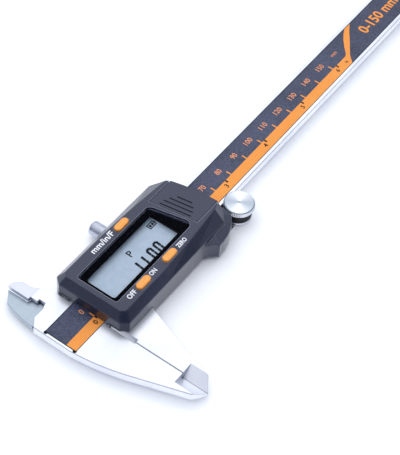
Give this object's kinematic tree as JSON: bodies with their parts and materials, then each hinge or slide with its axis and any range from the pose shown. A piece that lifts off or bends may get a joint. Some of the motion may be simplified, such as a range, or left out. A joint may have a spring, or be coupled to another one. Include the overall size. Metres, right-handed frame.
{
  "type": "digital caliper",
  "caption": "Digital caliper with outside and inside jaws, depth rod, display and thumb roller; the slider runs along a steel beam with a printed scale.",
  "frame": {"origin": "middle of the footprint, on the surface the caliper lies on", "axes": "+X along the beam from the jaws to the far end, +Y towards the inside jaws, +Z out of the display face"},
  "size_m": [0.238, 0.0772, 0.0143],
  "materials": {
    "steel": "satin ground stainless steel",
    "bright_steel": "bright turned steel",
    "dark_plastic": "fine grained dark plastic",
    "orange_plastic": "smooth orange plastic",
    "grey_plastic": "moulded plastic",
    "clear_window": "polished acrylic with a black border",
    "display_glass": "polarised display glass",
    "printed_scale": "printed film",
    "circuit_green": "solder resist on fibreglass",
    "rubber": "moulded rubber",
    "black_resin": "potting resin",
    "nickel": "nickel plated"
  },
  "bodies": {
    "beam_body": {"beam": "steel", "encoder_strip": "circuit_green", "scale_overlay": "printed_scale", "end_stop_plate": "steel", "end_stop_screw_1": "bright_steel", "end_stop_screw_2": "bright_steel"},
    "slider_body": {"slider_frame": "steel", "depth_rod": "steel", "depth_rod_screw_1": "bright_steel", "depth_rod_screw_2": "bright_steel", "gib_strip": "nickel", "gib_screw_1": "bright_steel", "gib_screw_2": "bright_steel", "roller_axle": "steel", "front_cover": "dark_plastic", "display_window": "clear_window", "lcd_frame": "grey_plastic", "lcd_glass": "display_glass", "contact_rubber_1": "rubber", "contact_rubber_2": "rubber", "circuit_board": "circuit_green", "controller_chip": "black_resin", "unit_switch": "nickel", "power_switch": "nickel", "zero_switch": "nickel", "coin_cell": "nickel", "battery_contact_minus": "nickel", "battery_contact_plus": "nickel", "cover_screw_1": "bright_steel", "cover_screw_2": "bright_steel", "cover_screw_3": "bright_steel", "cover_screw_4": "bright_steel"},
    "roller_body": {"thumb_roller": "bright_steel", "roller_tyre": "rubber"},
    "lock_body": {"lock_screw": "bright_steel"},
    "unit_body": {"unit_button": "orange_plastic"},
    "power_body": {"power_button": "orange_plastic"},
    "zero_body": {"zero_button": "orange_plastic"},
    "door_body": {"battery_cover": "dark_plastic"}
  },
  "joints": [
    {"name": "slider_travel", "type": "slide", "parent": "beam_body", "child": "slider_body", "axis": [1, 0, 0], "range_m": [0, 0.15]},
    {"name": "roller_turn", "type": "hinge", "parent": "slider_body", "child": "roller_body", "pos_m": [-0.034, -0.00285, 0.0053], "axis": [0, 0, 1], "range_deg": [0, 1625]},
    {"name": "lock_turn", "type": "hinge", "parent": "slider_body", "child": "lock_body", "pos_m": [-0.0725, 0.02985, 0.00355], "axis": [0, 1, 0], "range_deg": [-180, 180]},
    {"name": "unit_press", "type": "slide", "parent": "slider_body", "child": "unit_body", "axis": [0, 0, -1], "range_m": [0, 0.0004], "stiffness_N_per_m": 400},
    {"name": "power_press", "type": "slide", "parent": "slider_body", "child": "power_body", "axis": [0, 0, -1], "range_m": [0, 0.0004], "stiffness_N_per_m": 400},
    {"name": "zero_press", "type": "slide", "parent": "slider_body", "child": "zero_body", "axis": [0, 0, -1], "range_m": [0, 0.0004], "stiffness_N_per_m": 400},
    {"name": "door_slide", "type": "slide", "parent": "slider_body", "child": "door_body", "axis": [1, 0, 0], "range_m": [0, 0.012]}
  ],
  "couplings": [
    {"joint": "roller_turn", "follows": "slider_travel", "rad_per_m": 188.68}
  ]
}
